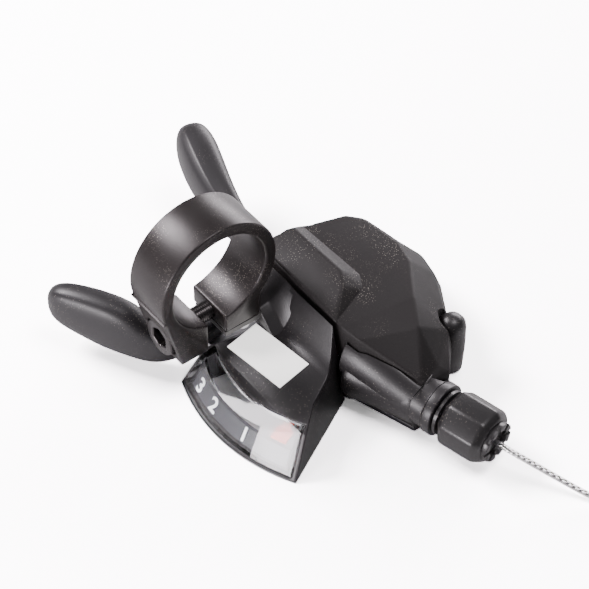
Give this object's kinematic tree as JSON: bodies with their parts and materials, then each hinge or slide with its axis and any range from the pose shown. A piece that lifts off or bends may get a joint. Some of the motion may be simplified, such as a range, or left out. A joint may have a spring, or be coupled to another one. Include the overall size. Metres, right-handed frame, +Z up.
{
  "type": "bicycle thumb shifter",
  "caption": "Left-hand bicycle thumb shifter with clamp band, thumb and release levers, gear display, cable adjuster and a free inner wire.",
  "frame": {"origin": "centre of the bounding box without the free wire, on the surface that the shifter lies on", "axes": "+X along the handlebar, inboard; +Y forward, away from the rider; +Z up"},
  "size_m": [0.171, 0.0984, 0.0438],
  "materials": {
    "black_anodised": "satin black anodised",
    "dark_steel": "dark zinc",
    "steel": "plated steel",
    "matte_black": "fine matte texture",
    "satin_black": "satin moulded",
    "clear_plastic": "clear moulded plastic",
    "dial_black": "printed dial",
    "white_label": "paper label",
    "orange_plastic": "orange",
    "nylon": "natural nylon",
    "spring_steel": "bright spring steel"
  },
  "bodies": {
    "housing": {"clamp_band": "black_anodised", "clamp_bolt": "dark_steel", "bracket_screw_1": "steel", "bracket_screw_2": "steel", "main_plate": "steel", "main_housing": "satin_black", "top_cover": "matte_black", "bottom_cover": "satin_black", "indicator_housing": "satin_black", "indicator_lens": "clear_plastic", "dial_strip": "dial_black", "label_sticker": "white_label", "main_axle": "steel", "axle_nut": "steel", "inner_wire": "spring_steel", "holding_pawl_pin": "steel", "release_lever_pin": "steel", "release_lever_spring": "spring_steel", "pawl_spring": "spring_steel", "drum_return_spring": "spring_steel", "lever_return_spring": "spring_steel", "adjuster_spring": "spring_steel", "access_cap": "satin_black", "cover_screw_1": "steel", "cover_screw_2": "steel", "cover_screw_3": "steel", "shift_wire": "spring_steel", "wire_coil": "spring_steel"},
    "drum": {"cable_drum": "nylon", "cable_nipple": "steel", "ratchet_plate": "steel", "position_plate": "steel"},
    "needle": {"indicator_needle": "orange_plastic"},
    "thumb_lever": {"thumb_lever_arm": "steel", "thumb_lever_pad": "satin_black", "lever_rivet_1": "steel", "lever_rivet_2": "steel", "winding_pawl_pin": "steel"},
    "winding_pawl": {"winding_pawl": "steel"},
    "holding_pawl": {"holding_pawl": "steel"},
    "release_lever": {"release_lever": "satin_black"},
    "adjuster": {"adjuster_barrel": "satin_black"}
  },
  "joints": [
    {"name": "thumb_lever_push", "type": "hinge", "parent": "housing", "child": "thumb_lever", "pos_m": [0.00851, 0.01791, 0], "axis": [0, 0, -1], "range_deg": [0, 32], "stiffness_Nm_per_rad": 0.3},
    {"name": "release_lever_pull", "type": "hinge", "parent": "housing", "child": "release_lever", "pos_m": [-0.00759, 0.01581, 0], "axis": [0, 0, 1], "range_deg": [0, 12], "stiffness_Nm_per_rad": 0.2},
    {"name": "drum_turn", "type": "hinge", "parent": "housing", "child": "drum", "pos_m": [0.00851, 0.01791, 0], "axis": [0, 0, -1], "range_deg": [0, 55]},
    {"name": "needle_turn", "type": "hinge", "parent": "housing", "child": "needle", "pos_m": [0.00851, 0.01791, 0], "axis": [0, 0, -1], "range_deg": [0, 33.5]},
    {"name": "winding_pawl_turn", "type": "hinge", "parent": "thumb_lever", "child": "winding_pawl", "pos_m": [-0.00164, 0.01318, 0], "axis": [0, 0, 1], "range_deg": [0, 12], "stiffness_Nm_per_rad": 0.002},
    {"name": "holding_pawl_turn", "type": "hinge", "parent": "housing", "child": "holding_pawl", "pos_m": [-0.00199, 0.02571, 0], "axis": [0, 0, 1], "range_deg": [0, 10]},
    {"name": "adjuster_turn", "type": "hinge", "parent": "housing", "child": "adjuster", "pos_m": [0.04259, 0.0146, 0.0072], "axis": [0.9751, 0.2215, 0], "continuous": true}
  ],
  "couplings": [
    {"joint": "needle_turn", "follows": "drum_turn", "ratio": 0.6},
    {"joint": "holding_pawl_turn", "follows": "release_lever_pull", "ratio": 0.8}
  ]
}
